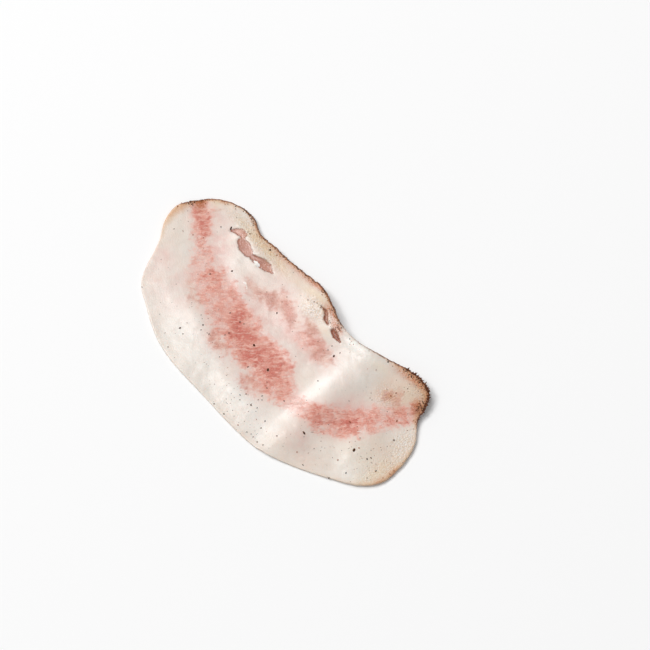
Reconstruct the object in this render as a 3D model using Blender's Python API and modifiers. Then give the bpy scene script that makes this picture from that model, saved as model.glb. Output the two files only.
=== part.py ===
"""One thin slice of guanciale, cured pork jowl, as it lies on a table.

The slice is a long teardrop, narrow at -X and broad at +X. The edge at +Y is the crusted one,
and the edge at -Y is the thin, bare fat. It rests on its free edge and both ends, while the
crusted side stands a few millimetres clear and a bend crosses the slice near the broad end.
Lengths are in millimetres until they reach Blender, which takes metres.
"""
import math

import bmesh
import bpy
from mathutils import Vector

MILLIMETRE = 0.001

# Driving dimensions, in millimetres.
THICKNESS = 1.7            # of the slice, away from its thin edge
THIN_EDGE_SHARE = 0.62     # of the thickness that is left at the free edge
THIN_EDGE_WIDTH = 14.0     # how far the thinning reaches in from the free edge
RIM_ROUNDING = 0.35        # radius of the rim's upper and lower edges
RIM_SEGMENTS = 2
RAISE_CUT = 0.35           # swells lower than this are pressed flat on the table

# Cells of the surface along the slice and across it, and how often they are evened out.
CELLS_ALONG = 46
CELLS_ACROSS = 26
EVENING_PASSES = 40

# The outline is four smooth stretches that meet at its corners, each from lower to higher X
# or, at the two ends, from lower to higher Y.
FREE_EDGE = (
    (-61.0, -32.0), (-55.5, -37.0), (-48.0, -39.4), (-38.0, -42.3), (-28.0, -44.2),
    (-15.0, -43.8), (3.0, -40.8), (22.0, -37.6), (36.0, -34.2), (50.0, -26.7), (66.0, -14.7),
)
CRUSTED_EDGE = (
    (-72.0, 16.0), (-63.0, 22.2), (-55.0, 23.8), (-47.0, 21.8), (-38.0, 23.7), (-24.0, 26.8),
    (-7.0, 31.0), (3.0, 29.7), (10.0, 28.3), (21.0, 29.5), (36.0, 36.6), (48.0, 43.2),
    (57.0, 44.2), (62.5, 40.0),
)
NARROW_END = (
    (-61.0, -32.0), (-69.5, -19.0), (-77.0, -11.5), (-80.6, -3.0), (-78.0, 6.0), (-72.0, 16.0),
)
BROAD_END = (
    (66.0, -14.7), (76.0, -5.5), (80.4, 3.0), (79.5, 13.0), (74.5, 25.0), (66.0, 32.5),
    (62.5, 40.0),
)

# Swells that lift the slice off the table: centre x and y, half-lengths along and across,
# the turn of the long direction from +X in degrees, and the height.
SWELLS = (
    (8.0, 37.0, 42.0, 25.0, 5.0, 5.6),       # the crusted side
    (36.5, 0.0, 31.0, 8.0, -80.0, 2.7),      # the bend across the slice
    (53.0, 42.0, 14.0, 12.0, 10.0, 1.7),     # the broad end's crusted corner
    (-43.0, 14.0, 14.0, 9.0, 30.0, 1.5),     # a wave in the narrow end
    (-30.0, -23.0, 18.0, 8.0, 12.0, 1.4),    # a wave beside the free edge
    (5.0, -27.0, 13.0, 8.0, -15.0, 0.9),     # a second, lower wave beside it
    (61.0, 8.0, 9.0, 16.0, 20.0, 1.1),       # a wave in the broad end
)

SLICE_COLOUR = (0.83, 0.66, 0.58, 1.0)
SLICE_ROUGHNESS = 0.38
SPLINE_STEPS = 24          # points read between two points of the outline


def clear_scene():
    for thing in list(bpy.data.objects):
        bpy.data.objects.remove(thing, do_unlink=True)


def new_collection(name):
    collection = bpy.data.collections.new(name)
    bpy.context.scene.collection.children.link(collection)
    return collection


def principled(name, colour, roughness):
    material = bpy.data.materials.new(name)
    material.use_nodes = True
    shader = material.node_tree.nodes["Principled BSDF"]
    shader.inputs["Base Color"].default_value = colour
    shader.inputs["Roughness"].default_value = roughness
    shader.inputs["Metallic"].default_value = 0.0
    return material


def spline_point(before, start, end, after, share):
    """A point between start and end on a curve that leaves no corner at either."""
    step_in = math.sqrt((start - before).length)
    step = math.sqrt((end - start).length)
    step_out = math.sqrt((after - end).length)
    leave = (end - start) + step * ((start - before) / step_in - (end - before) / (step_in + step))
    arrive = (end - start) + step * ((after - end) / step_out - (after - start) / (step + step_out))
    square = share * share
    cube = square * share
    return (
        (2 * cube - 3 * square + 1) * start
        + (cube - 2 * square + share) * leave
        + (3 * square - 2 * cube) * end
        + (cube - square) * arrive
    )


def smooth_stretch(points, before, after):
    """The stretch through points as a dense polyline; before and after set its end slopes."""
    route = [Vector(point) for point in (before, *points, after)]
    dense = []
    for first in range(len(points) - 1):
        for step in range(SPLINE_STEPS):
            dense.append(spline_point(*route[first:first + 4], step / SPLINE_STEPS))
    dense.append(route[-2])
    return dense


def read_evenly(polyline, count):
    """count + 1 points spaced evenly by length along a polyline."""
    reached = [0.0]
    for start, end in zip(polyline, polyline[1:]):
        reached.append(reached[-1] + (end - start).length)
    points = []
    segment = 0
    for index in range(count + 1):
        distance = reached[-1] * index / count
        while segment < len(polyline) - 2 and reached[segment + 1] < distance:
            segment += 1
        share = (distance - reached[segment]) / (reached[segment + 1] - reached[segment])
        points.append(polyline[segment].lerp(polyline[segment + 1], share))
    return points


def outline_stretches():
    """The four stretches, read evenly at the surface's cells."""
    free = smooth_stretch(FREE_EDGE, NARROW_END[1], BROAD_END[1])
    crusted = smooth_stretch(CRUSTED_EDGE, NARROW_END[-2], BROAD_END[-2])
    narrow = smooth_stretch(NARROW_END, FREE_EDGE[1], CRUSTED_EDGE[1])
    broad = smooth_stretch(BROAD_END, FREE_EDGE[-2], CRUSTED_EDGE[-2])
    return (
        read_evenly(free, CELLS_ALONG),
        read_evenly(crusted, CELLS_ALONG),
        read_evenly(narrow, CELLS_ACROSS),
        read_evenly(broad, CELLS_ACROSS),
    )


def patch_point(stretches, column, row):
    """The point of a patch spanned between its four stretches."""
    free, crusted, narrow, broad = stretches
    along = column / CELLS_ALONG
    across = row / CELLS_ACROSS
    between_sides = free[column].lerp(crusted[column], across)
    between_ends = narrow[row].lerp(broad[row], along)
    corners = free[0].lerp(free[-1], along).lerp(crusted[0].lerp(crusted[-1], along), across)
    return between_sides + between_ends - corners


def swell_height(x, y, swell):
    centre_x, centre_y, along, across, turn, height = swell
    angle = math.radians(turn)
    forward = (x - centre_x) * math.cos(angle) + (y - centre_y) * math.sin(angle)
    sideways = (y - centre_y) * math.cos(angle) - (x - centre_x) * math.sin(angle)
    return height * math.exp(-((forward / along) ** 2) - (sideways / across) ** 2)


def underside_height(x, y):
    raised = sum(swell_height(x, y, swell) for swell in SWELLS)
    return max(0.0, raised - RAISE_CUT)


def build_underside(name, collection):
    """An open surface: a grid fitted to the outline and lifted by the swells."""
    stretches = outline_stretches()
    surface = bmesh.new()
    bmesh.ops.create_grid(surface, x_segments=CELLS_ALONG, y_segments=CELLS_ACROSS, size=1.0)
    for vertex in surface.verts:
        column = round((vertex.co.x + 1.0) / 2.0 * CELLS_ALONG)
        row = round((vertex.co.y + 1.0) / 2.0 * CELLS_ACROSS)
        vertex.co = patch_point(stretches, column, row).to_3d()
    inner = [vertex for vertex in surface.verts if not vertex.is_boundary]
    for _ in range(EVENING_PASSES):
        bmesh.ops.smooth_vert(surface, verts=inner, factor=0.5, use_axis_x=True, use_axis_y=True)
    for vertex in surface.verts:
        height = underside_height(vertex.co.x, vertex.co.y)
        vertex.co = Vector((vertex.co.x, vertex.co.y, height)) * MILLIMETRE
    mesh = bpy.data.meshes.new(name)
    surface.to_mesh(mesh)
    surface.free()
    slice_object = bpy.data.objects.new(name, mesh)
    collection.objects.link(slice_object)
    return slice_object, stretches[0]


def thin_the_free_edge(slice_object, free_edge):
    """A vertex group whose weight falls towards the free edge, read by Solidify."""
    group = slice_object.vertex_groups.new(name="thickness")
    for vertex in slice_object.data.vertices:
        place = Vector(vertex.co[:2]) / MILLIMETRE
        distance = min((place - point).length for point in free_edge)
        share = min(1.0, distance / THIN_EDGE_WIDTH)
        eased = share * share * (3.0 - 2.0 * share)
        group.add([vertex.index], eased, "REPLACE")
    return group


def build_slice(collection):
    slice_object, free_edge = build_underside("guanciale_slice", collection)
    group = thin_the_free_edge(slice_object, free_edge)
    thicken = slice_object.modifiers.new("Thickness", "SOLIDIFY")
    thicken.thickness = THICKNESS * MILLIMETRE
    thicken.offset = 1.0
    thicken.vertex_group = group.name
    thicken.thickness_vertex_group = THIN_EDGE_SHARE
    rounding = slice_object.modifiers.new("Rim", "BEVEL")
    rounding.width = RIM_ROUNDING * MILLIMETRE
    rounding.segments = RIM_SEGMENTS
    rounding.limit_method = "ANGLE"
    rounding.angle_limit = math.radians(50.0)
    triangles = slice_object.modifiers.new("Facets", "TRIANGULATE")
    triangles.quad_method = "SHORTEST_DIAGONAL"
    slice_object.data.materials.append(principled("cured_fat", SLICE_COLOUR, SLICE_ROUGHNESS))
    slice_object.data.shade_smooth()
    return slice_object


def stand_on_origin(slice_object):
    """Moves the slice so that its box's bottom centre is the origin."""
    depsgraph = bpy.context.evaluated_depsgraph_get()
    corners = [Vector(corner) for corner in slice_object.evaluated_get(depsgraph).bound_box]
    lowest = Vector(min(corner[axis] for corner in corners) for axis in range(3))
    highest = Vector(max(corner[axis] for corner in corners) for axis in range(3))
    middle = (lowest + highest) / 2.0
    slice_object.location = Vector((-middle.x, -middle.y, -lowest.z))


def main():
    clear_scene()
    collection = new_collection("guanciale")
    slice_object = build_slice(collection)
    stand_on_origin(slice_object)


main()
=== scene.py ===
import math
import random

import bmesh
import bpy
import numpy as np
from mathutils import Matrix, Vector, noise
from mathutils.bvhtree import BVHTree
from mathutils.kdtree import KDTree


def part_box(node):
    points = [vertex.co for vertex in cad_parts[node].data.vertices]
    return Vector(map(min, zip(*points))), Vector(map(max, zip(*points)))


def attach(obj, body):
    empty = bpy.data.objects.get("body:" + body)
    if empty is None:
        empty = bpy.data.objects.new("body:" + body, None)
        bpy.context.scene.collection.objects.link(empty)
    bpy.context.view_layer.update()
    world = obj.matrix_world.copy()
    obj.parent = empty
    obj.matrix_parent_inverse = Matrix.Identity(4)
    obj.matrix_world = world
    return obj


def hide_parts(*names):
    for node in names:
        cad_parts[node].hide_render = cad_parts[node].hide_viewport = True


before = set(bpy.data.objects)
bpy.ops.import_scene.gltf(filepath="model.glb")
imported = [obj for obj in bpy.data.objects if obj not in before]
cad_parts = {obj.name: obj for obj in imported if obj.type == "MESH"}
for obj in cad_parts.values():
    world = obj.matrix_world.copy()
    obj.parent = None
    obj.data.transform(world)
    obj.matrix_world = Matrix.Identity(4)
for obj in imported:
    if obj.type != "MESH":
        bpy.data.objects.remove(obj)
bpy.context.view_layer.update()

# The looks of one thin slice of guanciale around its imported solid. The mesh work is in
# millimetres, in the frame's axes: +X along the slice to its broad end, +Y across it to its
# crusted edge, +Z up. Everything is brought to metres as it becomes a Blender object.
NODE = "guanciale_slice"
METRES = 0.001

# The mesh: cells along and across, rings around the rim.
CELLS_ALONG = 280
CELLS_ACROSS = 150
RIM_RINGS = 5
STAR_CENTRE = Vector((-10.0, -12.0))  # every point of the outline is in sight of this one
OUTLINE_RAYS = 3600
OUTLINE_STEP = 0.15  # spacing of the outline's points
OUTLINE_SOFTENING = 1.5  # how far the solid's facets are rounded away
CORNERS = ((-61.0, -32.0), (66.0, -14.7), (62.5, 40.0), (-72.0, 16.0))
EVENING_PASSES = 500
HEIGHT_PASSES = 36
RIM_BULGE = 0.5  # how far the rim rounds out past the flat faces
RIM_SAMPLING = 1.0  # heights near the rim are read this far inside it
RAY_CLEARANCE = 5.0  # rays start this far above or below the solid
RAY_TOP = 50.0  # rays down to the finished slice start at this height
OUTLINE_SEARCH = (5.0, 120.0)  # the outline lies between these radii
OUTLINE_HALVINGS = 18
LEAST_THICKNESS = 0.5
UNDERSIDE_LUMPS = 0.04  # how much the underside is lifted, on average

# The lean: streaks of (x, y, half-width), each with its depth of colour. 1 is the full one.
STEM = (
    (-79.5, 9, 4.4), (-76.8, 7.4, 4.4), (-73.8, 5.5, 4.4), (-69.8, 3.4, 4),
    (-65.5, 1.6, 4), (-61.9, -0.1, 3.2), (-59, -2.9, 1.8), (-55, -4.6, 2.8),
    (-51.8, -5.6, 3.4), (-49.1, -9, 2.6), (-46.8, -13.1, 2.2), (-44.2, -17, 1.4),
)
MAIN = (
    (-40.4, -10.8, 6), (-36, -10.2, 8.4), (-30, -10.4, 8.6), (-25.7, -10.8, 8.4),
    (-15.8, -11.4, 8.6), (-6.7, -11.2, 8.8), (0, -9.8, 8.6), (4.8, -8.6, 8),
    (12.4, -9.2, 8.2), (16.3, -10.8, 7.6), (22.3, -9.7, 4.8), (26.9, -9.3, 3.6),
    (31, -8.3, 2.6),
)
TURN = (
    (29, -9.6, 2.5), (32.7, -8, 3), (37, -5.6, 3.7), (41.4, -3.1, 4.3),
    (45.3, -0.5, 4.8), (48.4, 2.7, 5), (50.8, 6.4, 5.2), (52.6, 10.6, 5),
    (54.4, 14.7, 4.4), (56.2, 18.9, 4), (58.2, 23.1, 3.2), (60, 27, 2.8),
    (61.8, 31, 2.6), (63.6, 36, 2.6),
)
STREAKS = (
    (STEM, 0.92),
    (MAIN, 1),
    (TURN, 1.05),
    (((-44, -17.5, 1.2), (-39, -20, 1.3), (-34, -20.5, 1)), 0.45),
    (((-16.5, -22, 2), (-12, -22, 2.6), (-9, -21, 2.4)), 0.75),
    (((9, -20, 2.2), (14, -19, 3), (17, -17.5, 2.4)), 0.8),
    (((-28.7, 4.6, 1.4), (-24.6, 4.7, 1.8), (-20, 7.2, 2.2), (-17, 10, 2.7)), 0.55),
    (((-16.6, 10.4, 2.7), (-13.4, 12.4, 3.1), (-9.8, 12.4, 3.1), (-6.4, 10.9, 2.4)), 0.78),
    (((-2.5, 11.5, 1.4), (0, 11, 1.4)), 0.6),
    (((2.7, 16.2, 1.2), (7.4, 14.8, 1.6)), 0.64),
    (((6.8, 10.9, 2.2), (11.5, 12.1, 3.3), (15, 12.8, 3.2)), 0.86),
    (((15.7, 12.6, 3.1), (20.9, 13.5, 2.4)), 0.6),
    (((49, 27, 1.8), (52.8, 29.4, 2.2)), 0.5),
)
FIBRE_TURN = math.radians(57.0)  # the lean's fibres, from +X towards +Y

# Sunken, glossy membranes, as streaks of (x, y, half-width).
MEMBRANES = (
    ((-56, 11, 0.5), (-54.4, 13.2, 1.5), (-52.6, 14.4, 2.1), (-50.8, 15, 1.9),
     (-49.4, 13.8, 1.2)),
    ((-48.2, 12.4, 2.2), (-45.4, 12.1, 3), (-41.8, 12, 2.3)),
    ((-40.6, 11.8, 1), (-36.9, 13.1, 1.9), (-33.9, 14.4, 2.5), (-31.1, 15.3, 2.3),
     (-26.8, 16, 0.3)),
)
MEMBRANE_SINK = 0.35
# Splits in the fat, as streaks of (x, y, half-width).
SPLITS = (
    ((-0.6, 25.3, 0.3), (2.2, 25.5, 0.8), (3.8, 24.8, 0.9), (5, 23.6, 1.1),
     (7.9, 23, 0.4)),
    ((11.4, 23.1, 0.9), (14.1, 22.9, 1.4), (17.9, 22.9, 0.3)),
)
SPLIT_SINK = 0.8

# Unevenness of the upper face: (height, size of its lumps, octaves, noise layer).
UNEVENNESS = ((0.30, 19.0, 1, 0.0), (0.12, 7.0, 2, 2.0), (0.035, 2.4, 2, 5.0))
# Swells of the upper face: (x, y, half-length, half-width, turn in degrees, height).
SWELLS = (
    (-3, 21.5, 6.5, 4.2, 20, 0.45),  # the white lump beside the first split
    (25, 28.6, 12, 2.8, 18, 0.6),  # the lip where the crusted side turns over
    (-34, 1, 9, 3, -20, 0.25),
    (-45, 16, 10, 2.5, 5, 0.25),
)

# Marks on the rim, in order around it: (x, y, crust, tan, width of the tan band).
RIM_MARKS = (
    (-61, -32, 0, 0, 1.5), (-70, -19, 0.05, 0.2, 1.8),
    (-78, -9, 0.15, 0.9, 4.6), (-80.6, -2, 0.3, 1, 6),
    (-78.5, 4, 1, 0.9, 3), (-76.5, 10.5, 0.7, 0.9, 2.5), (-72, 16, 0.5, 0.8, 3.5),
    (-65, 21, 0.6, 0.6, 2.5), (-59, 23.5, 1, 0.5, 2), (-50, 22.2, 0.9, 0.8, 3),
    (-43, 22.4, 0.9, 0.8, 2.6), (-34, 24.2, 0.95, 0.8, 2.2), (-20, 27.6, 1, 0.8, 2.2),
    (-8, 31, 1, 0.9, 2.6), (2, 30, 1, 0.9, 2.8), (8.5, 28.4, 0.9, 0.6, 1.8),
    (15, 29.4, 0.25, 0.15, 1), (26, 31.6, 0.4, 0.2, 1), (36, 36.6, 0.6, 0.5, 1.8),
    (42.5, 40, 0.85, 0.9, 3.5), (49, 43.6, 1, 1, 5), (57, 44.2, 1, 1, 5),
    (62.5, 40, 1, 1, 4.5), (66, 32.5, 0.7, 0.8, 3.5), (70, 29, 0.15, 0.3, 2),
    (76, 22.8, 0.1, 0.45, 2), (79.8, 12, 0.1, 0.85, 3.5), (80.3, 2.5, 0.08, 0.75, 3.5),
    (74, -7.5, 0, 0.3, 2.5), (60, -19.5, 0, 0.1, 2), (36, -34.2, 0, 0.05, 2),
    (-28, -44.2, 0, 0, 2),
)

# Broad patches of tone and of painted shade and highlight, by the name of the field that they
# make: (x, y, half-length, half-width, turn in degrees, strength). The paler patches take away
# from the deeper ones.
PATCHES = {
    "pink": (
        (-52, 3, 10, 7, -20, 0.9), (-62, -22, 6, 3, -60, 0.5),
        (-18, 2, 24, 9, 10, 0.65), (12, 12, 18, 8, 10, 0.8),
        (47, 12, 12, 7, 50, 0.8), (-20, 19, 20, 6, 10, 0.4),
        (46, -16, 8, 5, 0, 0.6), (0, -24, 30, 4, 5, 0.4),
        (-50, -22, 16, 8, 10, 0.45), (-66, 11, 5, 3, 0, 0.5),
        (-46, -32, 14, 7, 5, 0.35), (-61, 16, 5, 4, 0, 0.35),
    ),
    # Partly a warmer beige tone of the fat, partly painted shade on the broad end beyond the
    # crest, where the slice slopes away from the light.
    "warm_tone_and_shade": (
        (50, 32, 16, 8, 40, 1), (60, -4, 14, 14, 0, 0.15),
        (-22, 23, 26, 4, 8, 0.55), (50, -18, 12, 6, 30, 0.3),
        (-72, -4, 8, 10, 0, 0.3), (66, 14, 8, 8, 0, 0.5),
    ),
    # Partly whiter fat, such as the lump beside the first split; partly painted highlight along
    # the lip, the crest streak and the glossy spots on the narrow half and near the free edge,
    # and painted light on the shaded slope beyond the crest and the lobe below it.
    "white": (
        (-3.5, 20.5, 7.5, 3.8, 12, 0.9), (-25, -33, 26, 8, 8, 0.6),
        (18, -28, 16, 8, 10, 0.7), (24, 28, 12, 3.4, 18, 1.4),
        (30, 2, 30, 3.6, -82, 0.8), (70, 22, 6, 8, 0, 0.4),
        (-34, 0.5, 9, 3, -14, 0.7), (68, -6, 10, 7, 0, 0.7),
        (36, 22, 8, 6, 30, 0.6),
    ),
    "grainy": (
        (-44, 19, 20, 3.5, 5, 1), (72, 23, 6, 9, 10, 0.7),
        (-2, 22, 8, 5, 10, 0.9), (56, 40, 9, 4, 0, 0.8),
        (76, 5, 5, 12, 0, 0.6), (50, 27, 6, 5, 30, 0.8),
    ),
    "browned": (
        (-76.8, 7.4, 3, 4.4, 60, 1.6), (-70, 17.2, 2.2, 1.4, 50, 1),
        (-67.8, 12, 3.6, 0.5, 75, 0.35), (5, 27.4, 5, 1.6, -12, 1),
        (1, 26.8, 2.4, 0.9, 0, 0.7), (12.4, 25.4, 3.2, 1.6, 0, 1),
        (9.2, 24.6, 1.6, 1, 0, 0.6), (2.7, 16.4, 1.2, 2.4, 60, 0.4),
        (46, 38.6, 6, 2, 20, 0.7), (60.6, 35.6, 3, 3.4, 60, 1.1),
        (51, 28.3, 2.6, 1.6, 30, 0.45), (-12, 28, 8, 1.4, 20, 0.5),
        (-78, -3, 2, 6, 0, 0.35), (60.6, 31.4, 2.4, 3.2, 10, 0.15),
        (57.6, 26.6, 1.8, 2.6, 20, 0.3), (61.8, 35.6, 1.6, 2.2, 0, 0.4),
        (79.6, 10.4, 1.6, 3.4, 10, 0.7), (79.8, 2.4, 1.5, 2.8, 0, 0.5),
        (54, 41.6, 7, 2, 8, 0.9), (-56, 22.6, 6, 1.2, -8, 0.4),
        (-26, 25.2, 14, 1.5, 14, 0.7), (-8, 30.2, 7, 1.4, 14, 0.6),
    ),
    "charred": (
        (46, 41.6, 3, 0.9, 25, 0.8), (52, 43.2, 4, 1, 10, 1.1),
        (57, 43.8, 4, 1.1, -10, 1.1), (62, 39.6, 1.1, 2.6, 20, 0.8),
        (62.4, 35, 1, 2, 0, 1), (-60, 24, 5, 0.9, 0, 1),
        (-78.6, 4.4, 1, 3, 0, 0.8),
    ),
    "yellowed": (
        (-10, 25.4, 6, 2.2, 14, 0.6), (-3, 26.8, 3, 1.4, 0, 0.5),
        (-40, 19.5, 18, 2.2, 6, 0.7), (36, 31, 6, 2, 28, 0.6),
        (10, 20, 5, 2.4, 0, 0.5), (-72, 13, 3, 3, 0, 0.5),
        (76, 2, 3, 12, 0, 0.4), (68, 0, 10, 10, 0, 0.3),
        (56, 34, 6, 4, 40, 0.4),
    ),
    # Partly a greyer tone of the fat, partly painted shade on the slope beyond the crest.
    "grey_tone_and_shade": (
        (-57, 17, 5, 3.6, 0, 0.8), (4.5, 19.5, 3.4, 2.2, 0, 0.8),
        (42, 22, 10, 7, 30, 0.35), (-62, -8, 8, 6, 0, 0.5),
        (14, 19, 3, 2, 0, 0.7), (66, -2, 8, 8, 0, 0.1),
    ),
    # Small raised flecks of fat, also painted white as glints.
    "fleck_and_glint": (
        (-34.5, 12.5, 1.5, 1, 20, 1.2), (-36.6, 12.1, 0.7, 0.5, 20, 1),
        (-32.2, 13, 0.6, 0.5, 0, 0.8), (-30.4, 3, 4, 0.8, -14, 0.5),
    ),
    "deep_tone_and_glare": (
        (-12.5, -9.5, 8, 4.2, 0, 1.5), (0, -13, 5, 4, 0, 0.5),
        (51.5, 7, 7, 3.2, 60, 1.2), (-62.8, 1.4, 3.6, 2, -20, 1),
        (18, -11, 7, 4, 0, 0.1), (59, 34, 5, 3, 80, 0.4),
        (-72, 5, 5, 4, -30, 0.5), (8, 14, 5, 3, 0, 0.5),
        (-10, 13, 5, 2.4, 0, 0.5), (38, -5, 4, 3, 30, 0.3),
    ),
    # Partly paler lean, partly painted highlight where glare lies on the lean's head and where
    # the crest streak crosses the lean.
    "pale_tone_and_glare": (
        (-29, -11, 7, 7, 0, 1.9), (-37, -8, 4, 4, 0, 1),
        (30, -9, 5, 5, 0, 2.4), (4, -5, 4, 5, 0, 0.4),
        (-54, -4, 5, 5, 0, 1.2), (55.5, 23, 3, 3, 0, 0.5),
        (-46, -12, 5, 5, 0, 0.9),
    ),
    "dusty": (
        (-56, 20, 9, 4, 0, 1), (8, -30, 12, 6, -5, 0.8),
        (24, -33, 12, 4, 15, 0.9), (66, 8, 12, 12, 0, 0.6),
        (10, 27, 12, 4, 5, 0.8), (54, 38, 12, 6, 10, 0.9),
        (-30, -26, 14, 6, 0, 0.35), (48, -12, 14, 8, 30, 0.35),
    ),
}

# The camera sees the 650-pixel square of the photograph.
PHOTO_SIDE = 650
CAMERA_TARGET = Vector((5.7, 22.8, 0.0))
CAMERA_DISTANCE = 690.6
CAMERA_ELEVATION = math.radians(70.0)
CAMERA_LENS = 85.0
SENSOR_WIDTH = 36.0
# "Away from the viewer" and "to the viewer's right" on the table.
AWAY = Vector((-math.sin(FIBRE_TURN), math.cos(FIBRE_TURN), 0.0))
RIGHT = Vector((math.cos(FIBRE_TURN), math.sin(FIBRE_TURN), 0.0))
LOOK = AWAY * math.cos(CAMERA_ELEVATION) - Vector((0.0, 0.0, math.sin(CAMERA_ELEVATION)))

# Specks by where the camera shows them: (column, row, size in millimetres).
PEPPER = (
    (231, 228, 1.5), (254, 345, 1.4), (354, 450, 1.4), (180, 328, 0.9), (268, 370, 1.1),
    (277, 313, 0.9), (304, 433, 1.1), (394, 440, 0.9), (334, 356, 0.9), (329, 478, 1.0),
    (367, 459, 0.9), (250, 234, 0.8), (270, 250, 0.9), (232, 271, 0.8), (210, 274, 0.8),
    (174, 229, 0.6), (165, 333, 0.5), (168, 347, 0.5), (142, 287, 0.6), (201, 315, 0.5),
    (203, 325, 0.6), (201, 330, 0.6), (209, 334, 0.6), (230, 313, 0.7), (240, 322, 0.8),
    (244, 324, 0.6), (229, 333, 0.7), (225, 335, 0.5), (248, 367, 0.6), (267, 382, 0.5),
    (267, 388, 0.7), (240, 395, 0.7), (246, 394, 0.5), (240, 400, 0.5), (251, 405, 0.8),
    (257, 408, 0.5), (262, 396, 0.6), (262, 400, 0.5), (258, 400, 0.5), (224, 414, 0.7),
    (214, 404, 0.5), (234, 429, 0.7), (247, 432, 0.6), (253, 437, 0.5), (265, 421, 0.6),
    (261, 428, 0.8), (257, 442, 0.6), (263, 445, 0.6), (277, 436, 0.6), (284, 401, 0.6),
    (318, 381, 0.6), (371, 458, 0.8), (303, 465, 0.6), (346, 473, 0.6), (376, 471, 0.6),
    (332, 346, 0.6), (328, 350, 0.6), (340, 353, 0.6), (388, 362, 0.7), (221, 227, 0.6),
    (248, 232, 0.6), (183, 334, 0.5), (370, 398, 0.4), (372, 400, 0.4), (349, 401, 0.4),
    (360, 438, 0.6), (308, 300, 0.5), (314, 302, 0.5), (317, 303, 0.5), (367, 478, 0.5),
)
SPICE = (
    (238, 425, 0.7), (350, 422, 0.7), (397, 421, 0.8), (396, 393, 0.7), (394, 471, 0.8),
    (359, 448, 0.5), (297, 452, 0.6), (338, 460, 0.5), (376, 370, 0.6), (404, 392, 0.5),
    (391, 396, 0.5), (193, 235, 0.5), (183, 231, 0.5), (282, 302, 0.5), (287, 297, 0.6),
    (390, 474, 0.6), (383, 478, 0.5), (371, 393, 0.4),
)
# Clusters of dark crumbs: (x, y, spread, count).
DARK_CLUSTERS = (
    (-78, 3.2, 0.8, 22), (-76.8, 9, 0.7, 8), (-62.6, 22, 0.8, 12), (-60.4, 23, 0.7, 20),
    (-57.6, 23.4, 0.8, 24), (-54.6, 22.6, 1, 10), (-5.6, 29.6, 0.6, 6), (3, 28.8, 0.9, 8),
    (6, 28.2, 0.7, 5), (11.4, 25.6, 0.8, 10), (12.8, 24.3, 0.8, 9), (44.2, 40.6, 0.8, 14),
    (48, 41.8, 1.2, 22), (52, 42.8, 1.2, 26), (56, 43.2, 1.2, 22), (60.6, 39.8, 1.2, 16),
    (62, 36.4, 1, 16), (-0.6, 25.2, 0.5, 4), (7.6, 23.2, 0.6, 4),
)
# A chosen speck's real size is its size above times the first, plus the second.
SPECK_SCALE = 0.95
SPECK_EXTRA = 0.08
# Grains thrown at random: how many, and the range of their sizes.
PEPPER_DUST = (160, (0.15, 0.42))
SPICE_DUST = (70, (0.15, 0.4))
CLEAN_CHANCE = 0.04  # a grain's chance to stay where nothing is dusty
CRUST_CRUMBS = 420
DARK_CRUMBS = 150
RIM_CRUMB_SIZES = (0.22, 0.62)
CLUSTER_SIZES = (0.25, 0.6)
# Charred shreds along the rim between two places, counter-clockwise.
SHREDDED_RIM = ((63.0, 36.0), (43.5, 40.6))
SHREDS = 70
SHRED_LENGTHS = (0.8, 1.7)
SHRED_WIDTHS = (0.2, 0.42)

# The stage. Lamps in metres and watts: (name, to the viewer's right, away from the viewer,
# height, size, power).
LAMPS = (
    ("key", -4.0, 2.0, 5.0, 2.5, 243.0),
    ("back", -1.55, 3.25, 3.875, 1.3, 68.0),
    ("top", -1.5, 1.0, 5.0, 0.9, 36.0),
    ("fill", 3.0, -2.25, 5.0, 5.0, 42.0),
)
ROOM_LIGHT = 0.28
ROOM_SEEN = 0.95
FLOOR_SIZE = 4.0
FLOOR_WHITE = 0.925
SEED = 41


def srgb(red, green, blue):
    """A colour of 0 to 255 values as the linear one that Blender takes."""
    def linear(value):
        share = value / 255.0
        return share / 12.92 if share <= 0.04045 else ((share + 0.055) / 1.055) ** 2.4
    return (linear(red), linear(green), linear(blue), 1.0)


def smoothstep(low, high, values):
    share = np.clip((values - low) / (high - low), 0.0, 1.0)
    return share * share * (3.0 - 2.0 * share)


def linked(name, data):
    """A new object in the scene."""
    made = bpy.data.objects.new(name, data)
    bpy.context.scene.collection.objects.link(made)
    return made


# --- fields over the slice

def streak_depth(places, streak):
    """How far inside a streak of varying half-width each place lies; negative outside."""
    deepest = np.full(len(places), -1e9)
    for start, end in zip(streak, streak[1:]):
        origin = np.array(start[:2])
        step = np.array(end[:2]) - origin
        share = np.clip((places - origin) @ step / (step @ step), 0.0, 1.0)
        offset = places - origin - share[:, None] * step
        half_width = start[2] + share * (end[2] - start[2])
        deepest = np.maximum(deepest, half_width - np.hypot(offset[:, 0], offset[:, 1]))
    return deepest


def patch_strength(places, patches):
    """The summed strength of soft elliptical patches."""
    total = np.zeros(len(places))
    for x, y, along, across, turn, strength in patches:
        angle = math.radians(turn)
        offset = places - np.array((x, y))
        forward = offset[:, 0] * math.cos(angle) + offset[:, 1] * math.sin(angle)
        sideways = offset[:, 1] * math.cos(angle) - offset[:, 0] * math.sin(angle)
        total += strength * np.exp(-((forward / along) ** 2) - (sideways / across) ** 2)
    return total


def roughness_at(places, size, octaves, along=1.0, turn=0.0, layer=0.0):
    """Smooth noise of about -1 to 1 whose lumps are size millimetres across, and along
    times as long in the direction turn."""
    cos, sin = math.cos(turn), math.sin(turn)
    values = np.empty(len(places))
    for index, (x, y) in enumerate(places):
        forward = (x * cos + y * sin) / (size * along)
        sideways = (y * cos - x * sin) / size
        values[index] = noise.fractal((forward, sideways, layer), 1.0, 2.0, octaves)
    return values


# --- outline and surface grid

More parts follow.
